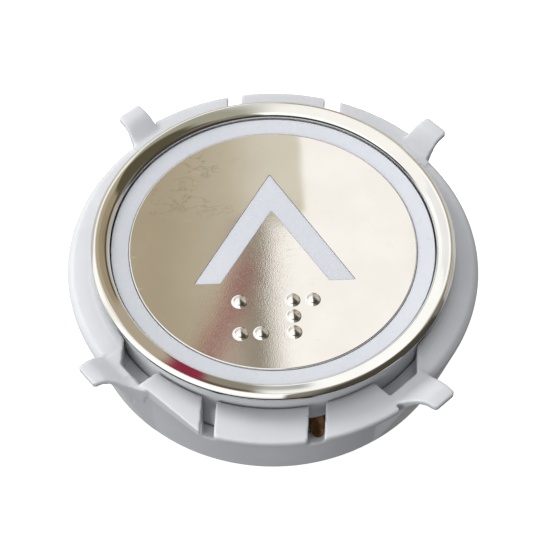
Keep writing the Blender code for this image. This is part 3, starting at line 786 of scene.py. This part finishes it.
def collar():
    """Snap-on collar: foot ring, two side sections, six petals and four spring arms, as one moulding."""
    item = collar_blank()
    combine(item, "DIFFERENCE", [flange_trim(BORE + 1.1, TRIM_HALF, TRIM_HALF),
                                 flange_trim(NOTCH_CHORD + 0.9, *ARM_TRIM)])
    sides = side_blank()
    combine(sides, "INTERSECT", [wedges("side_wedges", SIDE_HALF, SIDE_HALF, SIDE_RUN_OUT)])
    combine(item, "UNION", [sides])
    cutters = [*(slot_cutter(x, half) for x, half in SLOTS), petal_cut()]
    tongues = []
    for angle, side, radius, half, side_x, reach, petal_flare, side_flare in ARMS:
        cutters.append(notch_cutter(angle, side, side_x, reach, NOTCH_CHORD, NOTCH_DEPTH))
        cutters.append(notch_cutter(angle, side, side_x, reach, POCKET_CHORD, POCKET_DEPTH))
        tongues.append(arm(angle + COLLAR_TURN, side, radius, half, petal_flare, side_flare))
    combine(item, "DIFFERENCE", cutters)
    combine(item, "UNION", tongues)
    skin = item.modifiers.new("skin", "REMESH")
    skin.mode = "VOXEL"
    skin.voxel_size = 0.16 * MM
    soft = item.modifiers.new("soft", "SMOOTH")
    soft.factor = 0.5
    soft.iterations = 4
    bake(item)
    item.data.shade_smooth()
    dress(item, "base", "collar_plastic", FINISH["collar"], "mounting_collar")


# ---------------------------------------------------------------- studio

VIEW_DIRECTION = math.radians(-92.9)    # the camera stands in front and a little to the left
VIEW_ELEVATION = math.radians(55.6)
VIEW_DISTANCE = 220.0
VIEW_ROLL = math.radians(-0.5)
VIEW_LENS = 125.0
FACE_OFFSET = (-0.21, 3.28)             # where the face's centre lies off the lens axis


def camera():
    back = Vector((math.cos(VIEW_ELEVATION) * math.cos(VIEW_DIRECTION),
                   math.cos(VIEW_ELEVATION) * math.sin(VIEW_DIRECTION), math.sin(VIEW_ELEVATION)))
    level = Vector((0, 0, 1)).cross(back).normalized()
    upright = back.cross(level)
    right = level * math.cos(VIEW_ROLL) - upright * math.sin(VIEW_ROLL)
    up = level * math.sin(VIEW_ROLL) + upright * math.cos(VIEW_ROLL)
    place = Vector((0, 0, FACE)) + back * VIEW_DISTANCE - right * FACE_OFFSET[0] - up * FACE_OFFSET[1]
    data = bpy.data.cameras.new("camera")
    data.lens = VIEW_LENS
    data.sensor_width = 36.0
    data.clip_start = 0.01
    data.clip_end = 10.0
    item = bpy.data.objects.new("camera", data)
    item.matrix_world = Matrix.Translation(place * MM) @ Matrix((right, up, back)).transposed().to_4x4()
    bpy.context.scene.collection.objects.link(item)
    bpy.context.scene.camera = item


def floor():
    """Pale ground. It glows a little, so that shadows on it stay faint, and lights nothing itself."""
    reach = 2500
    item = prism("floor", [(-reach, -reach), (reach, -reach), (reach, reach), (-reach, reach)], -5, -0.02)
    mat = bpy.data.materials.new("pale_floor")
    mat.use_nodes = True
    shader = mat.node_tree.nodes["Principled BSDF"]
    graph = Graph(mat.node_tree)
    graph.feed(shader.inputs["Base Color"],
               graph.mix(graph.noise(40.0, 3.0), (0.60, 0.60, 0.60), (0.63, 0.63, 0.62)))
    shader.inputs["Roughness"].default_value = 0.9
    shader.inputs["Emission Color"].default_value = (1.0, 1.0, 1.0, 1.0)
    shader.inputs["Emission Strength"].default_value = 0.9
    mat.cycles.emission_sampling = "NONE"
    item.data.materials.append(mat)
    item.visible_diffuse = False
    item.visible_glossy = False


# name, place, diameter, watts and colour
LIGHTS = [("key", (-430, 260, 400), 320, 2.6, (1.0, 0.99, 0.97)),
          ("top", (60, 120, 620), 420, 1.2, (0.95, 0.98, 1.0)),
          ("fill", (-380, -420, 150), 320, 1.3, (0.98, 0.99, 1.0))]


def area_light(name, place, size, power, colour):
    data = bpy.data.lights.new(name, "AREA")
    data.shape = "DISK"
    data.size = size * MM
    data.energy = power
    data.color = colour
    item = bpy.data.objects.new(name, data)
    spot = Vector(place) * MM
    item.matrix_world = Matrix.Translation(spot) @ spot.to_track_quat("Z", "Y").to_matrix().to_4x4()
    item.visible_glossy = False
    bpy.context.scene.collection.objects.link(item)


def world():
    """Soft daylight that is stronger from the left than from the right."""
    item = bpy.data.worlds.new("studio")
    bpy.context.scene.world = item
    item.use_nodes = True
    graph = Graph(item.node_tree)
    background = item.node_tree.nodes["Background"]
    split = graph.node("ShaderNodeSeparateXYZ")
    graph.feed(split.inputs[0], graph.node("ShaderNodeTexCoord").outputs["Generated"])
    sideways = graph.step(split.outputs["X"], -0.9, 0.9)
    above = graph.step(split.outputs["Z"], -0.05, 0.25)
    sky = graph.mix(sideways, (0.66, 0.68, 0.71), (0.275, 0.273, 0.275))
    graph.feed(background.inputs["Color"], graph.mix(above, (0.12, 0.12, 0.125), sky))


DOME_RADIUS = 600


def layered(graph, colour, value, layers):
    """Lays each colour of (start, end, colour) over the last, from where the value passes start to end."""
    for start, end, over in layers:
        colour = graph.mix(graph.step(value, start, end), colour, over)
    return colour


def reflection_dome():
    """What the metal mirrors, laid out by how far across and along it lies for its height."""
    shape = bmesh.new()
    bmesh.ops.create_uvsphere(shape, u_segments=96, v_segments=48, radius=DOME_RADIUS * MM)
    item = from_bmesh("reflection_dome", shape)
    item.data.shade_smooth()
    mat = bpy.data.materials.new("room")
    mat.use_nodes = True
    tree = mat.node_tree
    tree.nodes.remove(tree.nodes["Principled BSDF"])
    graph = Graph(tree)
    split = graph.node("ShaderNodeSeparateXYZ")
    graph.feed(split.inputs[0], graph.position())
    x, y, z = split.outputs
    across = graph.maths("DIVIDE", x, graph.maths("MAXIMUM", z, 0.02))
    along = graph.maths("DIVIDE", y, graph.maths("MAXIMUM", z, 0.02))

    def band(value, start, end, fade):
        """One between start and end, fading out on both sides."""
        return graph.maths("MULTIPLY", graph.step(value, start - fade, start + fade),
                           graph.step(value, end + fade, end - fade))

    cream = (1.03, 0.985, 0.92)
    tan = (0.43, 0.36, 0.25)
    dark = (0.045, 0.038, 0.028)

    # seen in the plate: warm shade on the left, cream on the right, a beige strip at the far end
    # and a dark strip with a pale one beside it nearer by
    far = graph.step(along, 0.705, 0.725)
    near = graph.maths("SUBTRACT", 1.0, far)
    edge = graph.maths("SUBTRACT", across, graph.step(far, 0.0, 1.0, 0.031, 0.062))
    right = graph.step(edge, -0.004, 0.004)
    shade = graph.mix(graph.step(across, -0.07, 0.03), tan, (0.58, 0.52, 0.40))
    beige = graph.maths("MULTIPLY", graph.step(along, 0.69, 0.75), graph.step(across, -0.01, 0.045))
    shade = graph.mix(beige, shade, (0.70, 0.65, 0.53))
    pale = graph.maths("MULTIPLY", near, graph.step(across, -0.012, -0.006))
    shade = graph.mix(pale, shade, (0.48, 0.40, 0.32))
    strip = graph.maths("MULTIPLY", near, graph.step(across, 0.000, 0.008))
    shade = graph.mix(strip, shade, (0.30, 0.26, 0.20))
    room = graph.mix(right, shade, cream)

    # a thin red thing crosses the shade
    slant = graph.node("ShaderNodeMath", operation="MULTIPLY_ADD")
    graph.feed(slant.inputs[0], along)
    slant.inputs[1].default_value = -0.39
    slant.inputs[2].default_value = 0.2447
    slant = graph.maths("ADD", slant.outputs[0], across)
    stripe = graph.maths("MULTIPLY", band(slant, -0.015, 0.005, 0.005), graph.step(along, 0.69, 0.66))
    room = graph.mix(graph.maths("MULTIPLY", stripe, 0.90), room, (0.31, 0.12, 0.11))

    # seen in the bezel's left half: bands of warm shade; in its right half: white
    lean = graph.maths("MAXIMUM", graph.maths("SUBTRACT", along, 0.7), 0.0)
    lean = graph.maths("SUBTRACT", across, graph.maths("MULTIPLY", lean, 0.25))
    room = layered(graph, room, across, (
        (-0.100, -0.125, (1.12, 1.115, 1.10)), (-0.16, -0.20, (0.93, 0.92, 0.90)),
        (-0.34, -0.40, (1.12, 1.115, 1.10))))
    room = layered(graph, room, lean, (
        (0.16, 0.18, (0.46, 0.39, 0.27)), (0.27, 0.33, (0.36, 0.29, 0.19)),
        (0.40, 0.48, (0.10, 0.08, 0.05)), (0.66, 0.74, (0.50, 0.45, 0.34)),
        (1.0, 1.2, (0.46, 0.44, 0.40))))

    # overhead and towards the viewer
    over = layered(graph, (1.05, 1.03, 0.97), across, (
        (-0.02, 0.10, (0.38, 0.365, 0.29)), (0.17, 0.22, (0.10, 0.085, 0.05)),
        (0.60, 0.80, (0.20, 0.19, 0.17))))
    room = graph.mix(graph.step(along, 0.53, 0.50), room, over)
    ahead = layered(graph, (1.2, 1.2, 1.18), across, (
        (0.03, 0.12, (0.24, 0.225, 0.18)), (0.25, 0.7, (0.07, 0.06, 0.045))))
    ahead = graph.mix(graph.step(along, -1.1, -1.6), ahead, dark)
    room = graph.mix(graph.step(along, 0.10, -0.05), room, ahead)

    # at the far end, sorted by direction: shade, something crimson, dark and then white
    turn = graph.maths("DIVIDE", graph.maths("SUBTRACT", across, 0.03),
                       graph.maths("MAXIMUM", graph.maths("SUBTRACT", along, 0.69), 0.05))
    white = graph.mix(graph.step(along, 1.15, 1.7), (1.0, 0.99, 0.95), (0.48, 0.48, 0.46))
    gloom = graph.mix(graph.step(along, 1.15, 1.35), (0.12, 0.09, 0.05), (0.28, 0.25, 0.20))
    low = layered(graph, white, turn, (
        (0.06, 0.12, gloom), (0.23, 0.27, (0.275, 0.030, 0.062)), (0.36, 0.44, (0.47, 0.40, 0.30)),
        (-0.02, -0.08, (1.10, 1.09, 1.06))))
    room = graph.mix(graph.maths("MULTIPLY", graph.step(along, 0.86, 0.92), graph.step(turn, 1.2, 0.9)),
                     room, low)
    horizon = graph.maths("MULTIPLY", graph.step(along, 2.0, 2.3), graph.step(across, 0.3, 0.1))
    room = graph.mix(horizon, room, (1.05, 1.03, 1.0))
    room = graph.mix(graph.step(along, 3.0, 4.0), room, (0.60, 0.58, 0.52))
    ground = graph.maths("MULTIPLY", graph.step(z, 0.21, 0.13), graph.step(y, 0.15, -0.05))
    room = graph.mix(ground, room, dark)

    glow = graph.node("ShaderNodeEmission")
    graph.feed(glow.inputs["Color"], room)
    graph.feed(tree.nodes["Material Output"].inputs["Surface"], glow.outputs[0])
    mat.cycles.emission_sampling = "NONE"
    item.data.materials.append(mat)
    item.visible_camera = False
    item.visible_diffuse = False
    item.visible_transmission = False
    item.visible_shadow = False


def studio():
    bpy.context.scene.view_settings.view_transform = "Standard"
    camera()
    floor()
    world()
    for light in LIGHTS:
        area_light(*light)
    reflection_dome()


finish_cad_nodes()
bezel()
plate()
clips()
screws()
cap()
housing()
cover()
socket()
collar()
studio()
